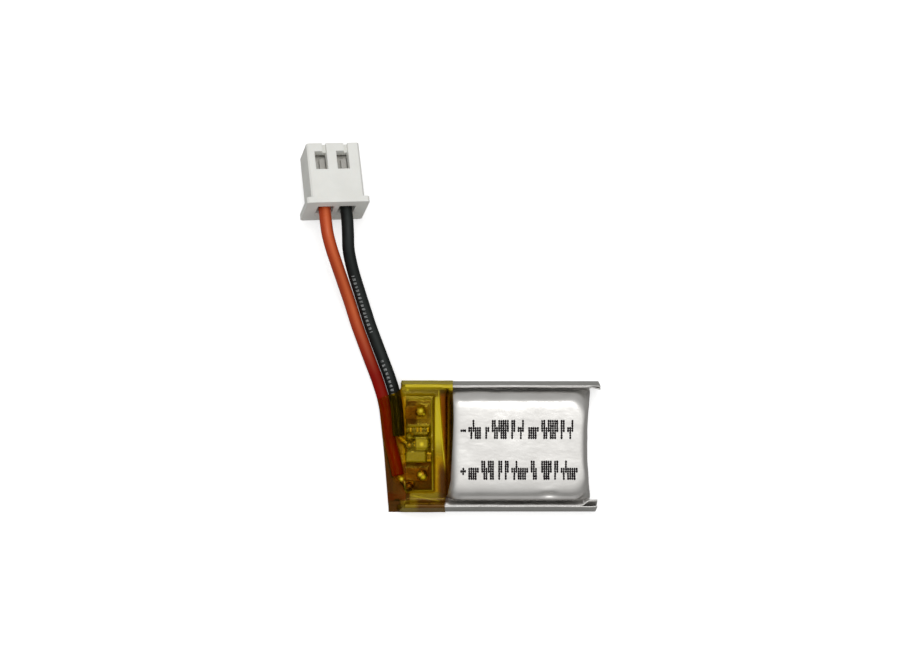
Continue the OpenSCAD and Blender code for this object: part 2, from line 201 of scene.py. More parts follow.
def ink_material():
    s = Surface("ink", roughness=0.8, specular_ior_level=0.1)
    s.patchy(s.noise(0.4), (0.005, 0.004, 0.005), (0.016, 0.012, 0.014))
    return s.bump(s.noise(0.1), 0.004).material


# Rows of ticks on the black lead: where they start and end along it and from tick to tick (mm),
# how far round from its right side they lie and half their width (degrees)
PRINT_ROWS = ((4.6, 9.1), (12.6, 20.4))
TICK_PITCH = 0.52
PRINT_SIDE = 102.0
PRINT_HALF = 15.0
# How far round the painted highlight line along the top of both leads lies, and how wide it is (degrees)
HIGHLIGHT_SIDE = 76.0
HIGHLIGHT_WIDTH = 42.0


def highlight_stripe(s):
    """From 0 to 1 towards the line along a lead's top where a highlight is painted into its colour."""
    away = s.math("ABSOLUTE", s.math("SUBTRACT", s.attribute("around"), HIGHLIGHT_SIDE))
    return s.spread(away, 1.0, 0.0, 4.0, HIGHLIGHT_WIDTH)


def rubbery(s, smooth, rough):
    """Ends a lead's material: gloss in patches over slightly uneven, finely grained insulation."""
    s.gloss(s.noise(0.8), smooth, rough)
    s.bump(s.noise(0.5, 4.0), 0.006)
    return s.bump(s.cells(0.12), 0.002).material


def red_lead_material():
    s = Surface("red_insulation")
    s.set(specular_ior_level=s.spread(s.attribute("along"), 0.03, 0.22, 11.0, 19.0))
    # painted light: the insulation is darker near the board and lighter, with a brighter painted
    # highlight, towards the plug
    far = s.spread(s.attribute("along"), 0.0, 1.0, 12.0, 20.5)
    patches = s.spread(s.noise(1.6), 0.0, 0.35)
    near_board = s.mix(patches, (0.26, 0.006, 0.003), (0.19, 0.004, 0.002))
    near_plug = s.mix(patches, (0.46, 0.052, 0.009), (0.40, 0.040, 0.007))
    plain = s.mix(far, near_board, near_plug)
    # painted highlight: a lighter stripe along the lead's top, brighter towards the plug
    painted_highlight = s.mix(far, (0.24, 0.016, 0.008), (0.76, 0.165, 0.055))
    s.set(base_color=s.mix(s.math("MULTIPLY", highlight_stripe(s), 0.75), plain, painted_highlight))
    return rubbery(s, 0.27, 0.36)


def black_lead_material():
    """Black insulation with two worn rows of grey ticks along its top, in place of its print."""
    s = Surface("black_insulation")
    along = s.attribute("along")
    s.set(specular_ior_level=s.spread(along, 0.02, 0.12, 5.0, 12.0))
    ticks = s.math("LESS_THAN", s.math("FRACT", s.math("DIVIDE", along, TICK_PITCH)), 0.55)
    in_row = s.math("COMPARE", s.attribute("around"), PRINT_SIDE, PRINT_HALF)
    printed = s.math("MULTIPLY", ticks, in_row)
    rows = 0.0
    for start, end in PRINT_ROWS:
        rows = s.math("ADD", rows, s.math("COMPARE", along, (start + end) / 2, (end - start) / 2))
    worn = s.spread(s.noise(0.16, 2.0), 0.1, 1.0, 0.38, 0.6)
    share = s.math("MULTIPLY", s.math("MULTIPLY", printed, rows), worn)
    rubber = s.mix(s.spread(s.noise(1.5)), (0.006, 0.007, 0.007), (0.012, 0.014, 0.013))
    # painted highlight: a lighter stripe along the lead's top, starting about 5 mm from the board
    painted_highlight = s.mix(s.spread(along, 0.0, 1.0, 5.0, 7.0), (0.008, 0.009, 0.008), (0.046, 0.052, 0.050))
    rubber = s.mix(s.math("MULTIPLY", highlight_stripe(s), 0.5), rubber, painted_highlight)
    s.set(base_color=s.mix(share, rubber, (0.32, 0.33, 0.33)))
    return rubbery(s, 0.30, 0.40)


def nylon_material():
    s = Surface("white_nylon", specular_ior_level=0.3, subsurface_weight=0.1)
    s.shader.inputs["Subsurface Radius"].default_value = (1.0, 0.9, 0.8)
    s.shader.inputs["Subsurface Scale"].default_value = 0.6 * MM
    s.patchy(s.noise(3.0), (0.90, 0.90, 0.86), (0.85, 0.85, 0.81))
    s.gloss(s.noise(0.5), 0.42, 0.58)
    s.bump(s.noise(0.12), 0.004)
    return s.bump(s.noise(1.8, 2.0), 0.01).material


def tape_material():
    """Clear amber film that tints what is under it. It turns brown where it is stuck to itself and over
    the plates it clings to, dark brown over the cup's wall from its extra layers and painted shade, dark
    with painted shade in the corner by the -Y seal, and browner along the -Y rib and by the board's lower
    left edge (stack). It is cloudy over trapped air, and it also carries painted highlights and painted
    shade (milky). It turns lemon in painted highlights on folds, edges, chips and solder (gleam). It
    mirrors less (shine) where it clings to the leads."""
    s = Surface("amber_tape", roughness=0.2, specular_ior_level=0.2)
    stack = s.attribute("stack")
    gleam = s.attribute("gleam")
    streaks = s.noise(1.4, 3.0, (2.2, 1.0, 1.0))
    crinkle = s.noise(0.35)
    s.bump(s.noise(0.9, 3.0, (1.0, 0.6, 1.0)), 0.02)
    s.bump(crinkle, 0.004)
    thin = s.mix(s.spread(streaks), (0.92, 0.81, 0.09), (0.87, 0.72, 0.05))
    clear = s.new("BsdfTransparent", {"Color": s.mix(stack, thin, (0.61, 0.31, 0.02))})
    cloudy = s.mix(stack, (0.44, 0.32, 0.003), (0.11, 0.033, 0.001))
    # painted highlight: the film's own colour turns lemon where gleam is set
    s.set(base_color=s.mix(gleam, cloudy, (0.94, 0.76, 0.02)))
    body = s.new("MixShader", {0: s.attribute("milky_and_painted_light"), 1: clear.outputs[0], 2: s.shader.outputs[0]})
    mirror = s.new("BsdfGlossy", {
        "Color": s.mix(stack, (1.0, 0.84, 0.09), (0.60, 0.36, 0.06)),
        "Roughness": s.spread(crinkle, 0.06, 0.16), "Normal": s.normal,
    })
    fresnel = s.new("Fresnel", {"IOR": 1.45, "Normal": s.normal})
    shine = s.math("MULTIPLY", fresnel.outputs[0], s.attribute("shine"))
    whole = s.new("MixShader", {0: shine, 1: body.outputs[0], 2: mirror.outputs[0]})
    s.feed(s.output.inputs["Surface"], whole.outputs[0])
    return s.material


def metal_material(name, colour, other, patch, grain, roughness, dents, depth):
    """Tinned or soldered metal: tarnish over patch millimetres, gloss over grain millimetres."""
    s = Surface(name, metallic=1.0)
    s.patchy(s.noise(patch), colour, other)
    s.gloss(s.noise(grain), *roughness)
    return s.bump(s.noise(*dents), depth).material


def board_material():
    """Solder mask over copper tracks that run along the board, with flux stains."""
    s = Surface("board", roughness=0.35, coat_weight=0.4, coat_roughness=0.15)
    tracks = s.math("PINGPONG", s.math("ADD", s.axis("Y"), s.math("MULTIPLY", s.axis("X"), 0.7)), 0.45)
    raised = s.spread(tracks, 0.0, 1.0, 0.18, 0.24)
    mask = s.mix(raised, (0.045, 0.060, 0.018), (0.075, 0.095, 0.030))
    s.set(base_color=s.mix(s.spread(s.noise(0.9), 0.0, 0.6), mask, (0.10, 0.075, 0.02)))
    s.bump(raised, 0.02)
    return s.bump(s.noise(0.08), 0.003).material


def strip_material(name, colour, other, roughness):
    """Rolled metal strip: long fine scratches, stained by heat in places."""
    s = Surface(name, metallic=1.0)
    rolled = s.noise(0.10, 3.0, (14.0, 1.0, 1.0))
    stain = s.noise(1.1)
    s.patchy(stain, colour, other)
    s.gloss(rolled, *roughness)
    s.bump(rolled, 0.003)
    return s.bump(stain, 0.012).material


def coated_material(name, colour, other):
    """A battery electrode's dried coating: powdery, with faint drying lines."""
    s = Surface(name)
    s.patchy(s.noise(0.5, 3.0, (0.4, 6.0, 1.0)), colour, other)
    s.gloss(s.noise(0.2), 0.75, 0.95)
    return s.bump(s.noise(0.05), 0.006).material


LAMINATE = laminate_material()
INK = ink_material()
RED_RUBBER = red_lead_material()
BLACK_RUBBER = black_lead_material()
NYLON = nylon_material()
TAPE = tape_material()
# How molten metal looks: its patches, grain and gloss, its dents' size and detail, and their depth
MOLTEN = (0.6, 0.25, (0.12, 0.30), (0.35, 2.0), 0.02)
SOLDER = metal_material("solder", (0.78, 0.77, 0.72), (0.60, 0.58, 0.52), *MOLTEN)
FLUXED_SOLDER = metal_material("fluxed_solder", (0.34, 0.26, 0.15), (0.17, 0.11, 0.05), *MOLTEN)
BOARD = board_material()
STRANDS = metal_material(
    "conductor", (0.78, 0.74, 0.68), (0.62, 0.50, 0.36), 0.5, 0.15, (0.2, 0.38), (0.06,), 0.003,
)
NICKEL = strip_material("nickel_tab", (0.10, 0.062, 0.030), (0.25, 0.19, 0.11), (0.25, 0.42))
PLATE = strip_material("cell_pads", (0.055, 0.028, 0.010), (0.15, 0.090, 0.035), (0.28, 0.45))
ALUMINIUM = strip_material("aluminium_tab", (0.15, 0.095, 0.050), (0.34, 0.26, 0.16), (0.25, 0.45))
TIN = strip_material("tin", (0.68, 0.66, 0.60), (0.52, 0.48, 0.40), (0.22, 0.38))
CONTACT = strip_material("contact_metal", (0.50, 0.49, 0.46), (0.42, 0.41, 0.38), (0.34, 0.46))
ANODE = coated_material("anode_coat", (0.045, 0.045, 0.050), (0.070, 0.070, 0.075))
CATHODE = coated_material("cathode_coat", (0.018, 0.018, 0.018), (0.034, 0.034, 0.036))
SEPARATOR = grained("separator_film", (0.84, 0.84, 0.82), (0.76, 0.76, 0.74), 1.5, (0.45, 0.60), 0.004)
ROLL_TAPE = grained("roll_tape", (0.03, 0.22, 0.12), (0.02, 0.16, 0.09), 2.0, (0.20, 0.35), 0.006)
TAB_FILM = grained("tab_film", (0.72, 0.66, 0.42), (0.60, 0.54, 0.32), 0.8, (0.35, 0.55), 0.006)
INSULATION = grained("insulation", (0.42, 0.30, 0.05), (0.34, 0.22, 0.03), 1.0, (0.30, 0.50), 0.01)
CHIP_BLACK = grained("chip_black", (0.022, 0.022, 0.022), (0.036, 0.035, 0.033), 0.5, (0.45, 0.65), 0.008)
CHIP_TAN = grained("chip_tan", (0.34, 0.22, 0.11), (0.26, 0.17, 0.09), 0.4, (0.40, 0.60), 0.005)


# ---- Mesh helpers ----

def mesh_object(name, points, faces, smooth=True):
    mesh = bpy.data.meshes.new(name)
    mesh.from_pydata((np.asarray(points, float) * MM).tolist(), [], [list(f) for f in faces])
    mesh.update()
    for polygon in mesh.polygons:
        polygon.use_smooth = smooth
    return put_in_scene(name, mesh)


def point_attribute(thing, name, values):
    attribute = thing.data.attributes.new(name, "FLOAT", "POINT")
    attribute.data.foreach_set("value", np.asarray(values, np.float32))


def grid_faces(rows, columns, around=False, first=0):
    """Faces of a grid of points stored row by row; around joins its last column to its first."""
    faces = []
    for r in range(rows - 1):
        for c in range(columns if around else columns - 1):
            d = (c + 1) % columns
            low = first + r * columns
            faces.append((low + c, low + d, low + columns + d, low + columns + c))
    return faces


def thicken(thing, thickness, offset=-1.0):
    solid = thing.modifiers.new("thickness", "SOLIDIFY")
    solid.thickness = thickness * MM
    solid.offset = offset


def round_edges(thing, width, segments=2, angle=35.0):
    rounding = thing.modifiers.new("rounded_edges", "BEVEL")
    rounding.width = width * MM
    rounding.segments = segments
    rounding.limit_method = "ANGLE"
    rounding.angle_limit = math.radians(angle)


def apply_modifiers(thing):
    graph = bpy.context.evaluated_depsgraph_get()
    graph.update()
    mesh = bpy.data.meshes.new_from_object(thing.evaluated_get(graph))
    thing.modifiers.clear()
    thing.data = mesh


def paint(thing, material):
    thing.data.materials.clear()
    thing.data.materials.append(material)


def finish_piece(thing, material, slot, *nodes):
    """Gives a piece its material, fixes it to the pack, and hides the CAD nodes that it stands for. The
    slot is not used.
    """
    paint(thing, material)
    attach(thing, "root")
    if nodes:
        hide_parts(*nodes)
    return thing


def wobble(x, y, z, size, seed=0.0):
    """Smooth noise from -1 to 1 with bumps about size millimetres across."""
    return noise.noise(Vector((x / size + seed, y / size - seed, z / size + 2 * seed)))


def smoothstep(value):
    value = np.clip(value, 0.0, 1.0)
    return value * value * (3 - 2 * value)


def past(value, edge, width):
    """Rises smoothly from 0 at edge to 1 at width beyond it."""
    return smoothstep((value - edge) / width)


def before(value, edge, width):
    """Rises smoothly from 0 at edge to 1 at width short of it."""
    return smoothstep((edge - value) / width)


def hill(value, centre, width):
    return math.exp(-((value - centre) / width) ** 2)


# ---- Plug ----

# All in millimetres and degrees. The plug lies along its own Y, with its leads at Y 0. It is
# turned by pitch, roll and yaw, and stands on the floor on its lowest corner.
LEAD_D = 1.4
CONTACT_PITCH = 2.5
PLUG_W = 6.1
PLUG_LEN = 7.3
PLUG_D = 4.7
PLUG_PITCH = 18.0
PLUG_ROLL = 15.0
PLUG_YAW = 7.0
PLUG_AT = (-17.75, 26.95)
# The flange round the lead end: its thickness, and how far it stands out at the sides, back and front
FLANGE_LEN = 0.7
FLANGE_SIDE = 0.55
FLANGE_BACK = 0.7
FLANGE_FRONT = 0.05
# The two cavities' width and depth, the wall at their mating end, and the hole through it
CAVITY = (1.9, 2.2)
FRONT_WALL = 0.7
CONTACT_HOLE = 1.0
# The window over each contact, measured from the contact's middle and along the plug
WINDOW_X = (-0.95, 0.45)
WINDOW_Y = (PLUG_LEN - 3.2, PLUG_LEN - 1.0)
# The slot from each window to the mating end: its length and depth
KEY_SLOT = (1.5, 0.5)
GROOVE_X = 2.2
GROOVE_START = 2.2
GROOVE_HALF = 0.35
PIN_MARKS_Y = (2.6, 5.6)
PIN_MARK_R = 0.5


def plug_matrix():
    pitch, roll, yaw = (math.radians(a) for a in (PLUG_PITCH, PLUG_ROLL, PLUG_YAW))
    rise = PLUG_W / 2 * math.sin(roll) + PLUG_D / 2 * math.cos(roll)
    height = PLUG_LEN * math.sin(pitch) + rise * math.cos(pitch)
    return (
        Matrix.Translation(Vector((*PLUG_AT, height)))
        @ Matrix.Rotation(yaw, 4, "Z") @ Matrix.Rotation(-pitch, 4, "X") @ Matrix.Rotation(roll, 4, "Y")
    )


def add_box(bm, low, high):
    low, high = Vector(low), Vector(high)
    matrix = Matrix.Translation((low + high) / 2) @ Matrix.Diagonal((*(high - low), 1.0))
    bmesh.ops.create_cube(bm, size=1.0, matrix=matrix)


def bmesh_object(name, bm):
    mesh = bpy.data.meshes.new(name)
    bm.to_mesh(mesh)
    bm.free()
    return put_in_scene(name, mesh)


def combine(thing, other, operation="DIFFERENCE"):
    """Adds another object to a thing, or cuts it out, and removes that object."""
    boolean = thing.modifiers.new("combine", "BOOLEAN")
    boolean.operation = operation
    boolean.solver = "EXACT"
    boolean.use_self = operation == "DIFFERENCE"
    boolean.object = other
    apply_modifiers(thing)
    bpy.data.objects.remove(other)


def plug_block(name, half_w, low_z, high_z, y0, y1, corner=0.22):
    """A block with cut corners, drawn in the plug's X and Z and run along its length."""
    plan = []
    for sx, sz in ((1, -1), (1, 1), (-1, 1), (-1, -1)):
        x, z = sx * half_w, high_z if sz > 0 else low_z
        pair = [(x - sx * corner, z), (x, z - sz * corner)]
        plan += pair if sx * sz < 0 else pair[::-1]
    bm = bmesh.new()
    rings = [[bm.verts.new((x, y, z)) for x, z in plan] for y in (y0, y1)]
    for i in range(len(plan)):
        j = (i + 1) % len(plan)
        bm.faces.new((rings[0][i], rings[1][i], rings[1][j], rings[0][j]))
    bm.faces.new(rings[0])
    bm.faces.new(rings[1][::-1])
    bmesh.ops.recalc_face_normals(bm, faces=bm.faces)
    return bmesh_object(name, bm)


def make_plug():
    half_w, half_d = PLUG_W / 2, PLUG_D / 2
    past_end = PLUG_LEN + 1
    body = plug_block("connector_housing", half_w, -half_d, half_d, 0.02, PLUG_LEN)
    flange = plug_block(
        "flange", half_w + FLANGE_SIDE, -half_d - FLANGE_BACK, half_d + FLANGE_FRONT, 0.0, FLANGE_LEN,
    )
    combine(body, flange, "UNION")

    bm = bmesh.new()
    half_cw, half_cd, half_hole = CAVITY[0] / 2, CAVITY[1] / 2, CONTACT_HOLE / 2
    for side in (-1, 1):
        x = side * CONTACT_PITCH / 2
        add_box(bm, (x - half_cw, -1, -half_cd), (x + half_cw, PLUG_LEN - FRONT_WALL, half_cd))
        add_box(bm, (x - half_hole, 1, -half_hole), (x + half_hole, past_end, half_hole))
        add_box(bm, (x + WINDOW_X[0], WINDOW_Y[0], 0), (x + WINDOW_X[1], WINDOW_Y[1], PLUG_D))
        key_low = (x, PLUG_LEN - KEY_SLOT[0], half_d - KEY_SLOT[1])
        add_box(bm, key_low, (x + WINDOW_X[1], past_end, PLUG_D))
    # two shallow guide grooves along the back
    for side in (-1, 1):
        x = side * GROOVE_X
        groove_top = GROOVE_HALF - half_d
        add_box(bm, (x - GROOVE_HALF, GROOVE_START, -PLUG_D), (x + GROOVE_HALF, past_end, groove_top))
    combine(body, bmesh_object("cavities", bm))

    bm = bmesh.new()
    # the marks of the mould's ejector pins on the back
    for y in PIN_MARKS_Y:
        where = Matrix.Translation((0, y, -half_d)) @ Matrix.Diagonal((1, 1, 0.1, 1))
        radii = {"radius1": PIN_MARK_R, "radius2": PIN_MARK_R}
        bmesh.ops.create_cone(bm, cap_ends=True, segments=24, depth=1.0, matrix=where, **radii)
    combine(body, bmesh_object("pin_marks", bm))

    round_edges(body, 0.09, 3, 40.0)
    body.data.transform(Matrix.Scale(MM, 4) @ plug_matrix())
    return finish_piece(body, NYLON, "white_nylon", "plug_housing")


connector_housing = make_plug()


# ---- Leads ----

# The middle line of each lead's insulation from the board to its crimp, and its length
RED_ROUTE = [
    (-10.7, -3.6, 1.25), (-10.86, -2.7, 1.15), (-11.19, -1.4, 1.0), (-11.69, 0.6, 0.8),
    (-11.99, 2.8, 0.78), (-12.4, 5.1, 0.76), (-13.1, 7.4, 0.74), (-13.93, 9.6, 0.73),
    (-14.75, 11.8, 0.75), (-15.5, 13.9, 1.0), (-16.1, 15.9, 1.7), (-16.65, 17.7, 2.8),
    (-17.15, 19.3, 4.0), (-17.65, 20.9, 5.15), (-18.15, 22.5, 5.95), (-18.58, 24.2, 6.2),
    (-18.82, 25.77, 5.84), (-18.96, 26.9, 5.47), (-19.15, 28.41, 4.98),
]
BLACK_ROUTE = [
    (-10.62, 1.0, 1.65), (-10.7, 2.6, 1.5), (-10.86, 4.3, 1.25), (-11.16, 6.0, 0.95),
    (-11.72, 7.8, 0.75), (-12.39, 9.6, 0.73), (-13.18, 11.7, 0.75), (-13.95, 13.8, 0.95),
    (-14.57, 15.8, 1.6), (-15.14, 17.7, 2.6), (-15.6, 19.3, 3.65), (-15.99, 20.9, 4.6),
    (-16.25, 22.5, 5.35), (-16.3, 24.2, 5.6), (-16.4, 25.87, 5.23), (-16.54, 27.0, 4.86),
    (-16.72, 28.51, 4.36),
]
# Where the stripped ends meet the board's solder
RED_JOINT = (-9.7, -4.75, 1.48)
BLACK_JOINT = (-9.4, -0.1, 1.48)
CONDUCTOR_D = 0.5
# How far into the plug the strands start and end
STRANDS_IN_PLUG = (1.61, 3.1)


def smooth_route(route, steps=8):
    """A Catmull-Rom curve through the route's points."""
    p = np.array(route, float)
    p = np.vstack([2 * p[0] - p[1], p, 2 * p[-1] - p[-2]])
    line = []
    for i in range(1, len(p) - 2):
        for t in np.arange(steps) / steps:
            line.append(0.5 * (
                2 * p[i] + (p[i + 1] - p[i - 1]) * t
                + (2 * p[i - 1] - 5 * p[i] + 4 * p[i + 1] - p[i + 2]) * t ** 2
                + (3 * p[i] - p[i - 1] - 3 * p[i + 1] + p[i + 2]) * t ** 3
            ))
    line.append(p[-2])
    return np.array(line)


def lengths_along(line):
    return np.concatenate([[0], np.cumsum(np.linalg.norm(np.diff(line, axis=0), axis=1))])


def crossways(line, i):
    """The unit vectors to the right of and above a line's direction at its point i."""
    heading = line[min(i + 1, len(line) - 1)] - line[max(i - 1, 0)]
    right = np.cross(heading, (0, 0, 1))
    right = right / np.linalg.norm(right)
    up = np.cross(right, heading / np.linalg.norm(heading))
    return right, up


def tube_rings(line, radius, sides):
    """Points of a tube, with how far along (mm) and how far round (degrees) each lies."""
    points, along, around = [], [], []
    travelled = lengths_along(line)
    for i, centre in enumerate(line):
        right, up = crossways(line, i)
        for k in range(sides):
            angle = 2 * math.pi * k / sides
            points.append(centre + radius * (math.cos(angle) * right + math.sin(angle) * up))
            along.append(travelled[i])
            around.append(math.degrees(angle))
    return points, along, around


def tube_faces(rings, sides, first=0):
    faces = grid_faces(rings, sides, around=True, first=first)
    faces.append([first + k for k in range(sides)][::-1])
    faces.append([first + (rings - 1) * sides + k for k in range(sides)])
    return faces


def make_lead(name, route, material, slot, node):
    sides = 32
    line = smooth_route(route)
    points, along, around = tube_rings(line, LEAD_D / 2, sides)
    thing = mesh_object(name, points, tube_faces(len(line), sides))
    for face in thing.data.polygons[-2:]:
        face.use_smooth = False
    point_attribute(thing, "along", along)
    point_attribute(thing, "around", around)
    round_edges(thing, 0.08, 2, 60.0)
    finish_piece(thing, material, slot, node)
    tuple(np.array(route[0]) * MM)
    return thing


def strand_bundle(start, end, points, faces, turns=0.8):
    """Seven tinned strands twisted together from start to end."""
    start, end = np.array(start, float), np.array(end, float)
    strand_r = CONDUCTOR_D / 6
    sides, steps = 8, 14
    share = np.linspace(0, 1, steps + 1)
    axis = start + share[:, None] * (end - start)
    right, up = crossways(axis, 0)
    for k in range(7):
        angle = 2 * math.pi * (turns * share + k / 6)
        reach = 0 if k == 6 else 2 * strand_r
        line = axis + reach * (np.cos(angle)[:, None] * right + np.sin(angle)[:, None] * up)
        faces += tube_faces(steps + 1, sides, len(points))
        points += tube_rings(line, strand_r, sides)[0]


def make_strands():
    points, faces = [], []
    strand_bundle(RED_ROUTE[0], RED_JOINT, points, faces)
    strand_bundle(BLACK_ROUTE[0], BLACK_JOINT, points, faces)
    matrix = plug_matrix()
    for side in (-1, 1):
        inside = [matrix @ Vector((side * CONTACT_PITCH / 2, y, 0)) for y in STRANDS_IN_PLUG]
        strand_bundle(*inside, points, faces)
    thing = mesh_object("conductor_strands", points, faces)
    return finish_piece(thing, STRANDS, "conductor", "conductor_ends")


conductor_strands = make_strands()
red_lead = make_lead(
    "red_lead_insulation", RED_ROUTE, RED_RUBBER, "red_insulation", "red_lead",
)
black_lead = make_lead(
    "black_lead_insulation", BLACK_ROUTE, BLACK_RUBBER, "black_insulation", "black_lead",
)


# ---- Pouch ----

cup_low, cup_high = box_mm("pouch_cup")

CELL_TOP = cup_high[2]
SIDE_X0 = cup_low[0]
EAR_X = cup_high[0]
LAMINATE_T = 0.12
# The folded side seals: their underside and top edge, how far out they stand, how far they lean
# in at the top, the radius they are folded to, and where they begin at the foot. Side 1 is +Y.
SEAL_Z = 0.1
SEAL_TOP = 4.2
SEAL_EDGE = {1: 7.3, -1: 7.85}
SEAL_LEAN = {1: 0.38, -1: 0.85}
SEAL_BEND = 0.35
INNER_FOOT = 6.25
OUTER_FOOT = 6.4
# Past this X the seals open out into ears, and the near ear is this much shorter
EAR_FROM = 10.5
NEAR_EAR_CUT = 0.35
# The cup's foot in plan, and how far its ends lean in and share in the shoulder's inset
CUP_Z = SEAL_Z + LAMINATE_T
CUP_X0 = -5.15
CUP_X1 = 11.65
CUP_HALF = 6.35
LEFT_SHARE = 0.55
RIGHT_SHARE = 0.35
LEFT_LEAN = 0.32
RIGHT_LEAN = 0.25
PULLED_IN = 0.42
# The shoulder's section: how far in from the foot, and height
SHOULDER = (
    (0.0, 3.45), (0.06, 3.75), (0.18, 4.03), (0.35, 4.24), (0.53, 4.41), (0.71, 4.57),
    (0.88, 4.70), (1.05, 4.80), (1.22, 4.87), (1.42, 4.92), (1.66, 4.955), (1.95, 4.978),
    (2.30, 4.992), (2.70, 4.998), (3.10, 5.0),
)
TERRACE_Z = 0.5
TERRACE_HALF = 6.3


def cup_outline(inset, rise, per_corner=14, per_side=30):
    """The cup's outline in plan, inset from its foot, as a ring of points. rise goes from 0 at
    the foot to 1 at the top, where the corners are rounder."""
    x0 = CUP_X0 + (LEFT_SHARE if inset > 0 else 1) * inset + LEFT_LEAN * min(rise * 1.15, 1)
    x1 = CUP_X1 - RIGHT_SHARE * max(inset, 0) - RIGHT_LEAN * rise
    half = CUP_HALF - inset
    left_r = max(0.5 + 0.5 * rise - inset * 0.3, 0.15)
    right_r = max(0.5 + 2.1 * rise - inset * 0.3, 0.3)
    corners = (
        (x1 - right_r, half - right_r, right_r, 0), (x0 + left_r, half - left_r, left_r, 90),
        (x0 + left_r, left_r - half, left_r, 180), (x1 - right_r, right_r - half, right_r, 270),
    )
    ring = []
    for i, (cx, cy, r, begin) in enumerate(corners):
        for k in range(per_corner + 1):
            a = math.radians(begin + 90 * k / per_corner)
            ring.append((cx + r * math.cos(a), cy + r * math.sin(a)))
        nx, ny, nr, nbegin = corners[(i + 1) % 4]
        a = math.radians(nbegin)
        goal = (nx + nr * math.cos(a), ny + nr * math.sin(a))
        start = ring[-1]
        for k in range(1, per_side):
            t = k / per_side
            ring.append((start[0] + (goal[0] - start[0]) * t, start[1] + (goal[1] - start[1]) * t))
    ring = np.array(ring)
    # the folded end is drawn in between its corners
    right = past(ring[:, 0], x1 - 2.2, 2.2)
    ring[:, 0] -= PULLED_IN * right * np.clip(1 - (ring[:, 1] / half) ** 2, 0, 1)
    return ring


def press_cup(point):
    """The creases, dents and slight unevenness that handling leaves in the cup."""
    x, y, z = point
    high = past(z, 1.5, 2.0)
    z += high * (0.035 * wobble(x, y, 0, 6.0, 3.1) + 0.012 * wobble(x, y, 0, 1.8, 7.7))
    shoulder = past(abs(y), 4.6, 0.8) * high
    y += shoulder * 0.05 * wobble(x, y, z, 1.6, 1.3)
    in_run = past(x, -4.0, 0.8) * before(x, 10.4, 0.8)
    if y < 0:
        z += high * in_run * (0.16 * hill(y, -6.12, 0.16) - 0.09 * hill(y, -5.70, 0.20))
        z -= high * 0.34 * hill(x, 6.7, 0.75) * hill(y, -5.5, 0.28)
        z += high * 0.08 * hill(x, 6.5, 0.7) * hill(y, -5.1, 0.25)
    else:
        z -= high * in_run * 0.04 * hill(y, 5.6, 0.3) * (1 + wobble(x, 0, 0, 2.5, 5.0))
    ends = past(x, 10.2, 1.0) * high
    x += ends * 0.07 * wobble(0, y, z, 1.3, 9.2)
    return x, y, z


def cup_rings():
    rings = [(cup_outline(-0.35, 0), CUP_Z), (cup_outline(-0.12, 0), CUP_Z + 0.01)]
    wall_top = SHOULDER[0][1]
    for t in np.linspace(0.02, 0.9, 8):
        rings.append((cup_outline(0.0, 0.7 * t), CUP_Z + (wall_top - CUP_Z) * t))
    for inset, z in SHOULDER:
        rings.append((cup_outline(inset, 0.7 + 0.3 * (z - wall_top) / (CELL_TOP - wall_top)), z))
    rim = rings[-1][0]
    spine_x = np.clip(rim[:, 0], -1.0, 7.5)
    spine = np.column_stack([spine_x, np.zeros(len(rim))])
    for share in np.linspace(0.96, 0.0, 26):
        rings.append((spine + (rim - spine) * share, CELL_TOP))
    return rings


def make_cup():
    """The cup, the sheet round its foot, the terrace and the inner layer of each folded seal."""
    points, faces = [], []
    rings = cup_rings()
    around = len(rings[0][0])
    for ring, z in rings:
        points += [press_cup((x, y, z)) for x, y in ring]
    faces += grid_faces(len(rings), around, around=True)
    add_inner_seals(points, faces)
    add_terrace(points, faces)
    return laminate_sheet("pouch_cup", points, faces)


def weld(thing, within=0.002):
    bm = bmesh.new()
    bm.from_mesh(thing.data)
    bmesh.ops.remove_doubles(bm, verts=bm.verts, dist=within * MM)
    bmesh.ops.dissolve_degenerate(bm, edges=bm.edges, dist=within * MM / 4)
    bmesh.ops.recalc_face_normals(bm, faces=bm.faces)
    bm.to_mesh(thing.data)
    bm.free()


def laminate_sheet(node, points, faces):
    """A sheet of laminate that stands for one of the CAD's nodes."""
    thing = mesh_object(node + "_skin", points, faces)
    weld(thing)
    thicken(thing, LAMINATE_T)
    apply_modifiers(thing)
    return finish_piece(thing, LAMINATE, "laminate", node)


def seal_wave(x, side):
    """How far a folded seal strays inwards along its length."""
    return 0.05 * wobble(x, side, 0, 5.0, 2.0) + 0.015 * wobble(x, side, 0, 1.1, 4.0)


def ear_splay(x):
    return past(x, 10.9, EAR_X - 10.9) ** 1.5


def seal_section(x, side, inset, foot):
    """Points up one folded seal from its foot to its top edge, for the layer at that inset."""
    wave = seal_wave(x, side)
    end = ear_splay(x)
    top = SEAL_TOP + 0.04 * wobble(x, side, 0, 2.2, 8.0) - 0.12 * end
    spread = (0.06 if inset == 0 else 0.26) * end
    if inset > 0 and side < 0:
        # this ear's inner layer opens out as a web towards the cup's corner
        spread = 0.65 * past(x, 10.3, 1.1)
    path = [(foot, SEAL_Z + inset)]
    for a in np.radians(np.linspace(-90, 0, 7)):
        r = SEAL_BEND - inset
        centre_y = SEAL_EDGE[side] - SEAL_BEND
        path.append((centre_y + r * math.cos(a), SEAL_Z + SEAL_BEND + r * math.sin(a)))
    base_y, base_z = path[-1]
    for t in np.linspace(0, 1, 11)[1:]:
        lean = SEAL_LEAN[side] * t + wave * t + spread * t ** 2
        path.append((base_y - lean, base_z + (top - base_z) * t))
    return [(x, side * y, z) for y, z in path]


def side_stations(end):
    return np.concatenate([np.arange(SIDE_X0, EAR_FROM, 0.4), np.linspace(EAR_FROM, end, 21)])


def ear_end(side):
    return EAR_X if side > 0 else EAR_X - NEAR_EAR_CUT


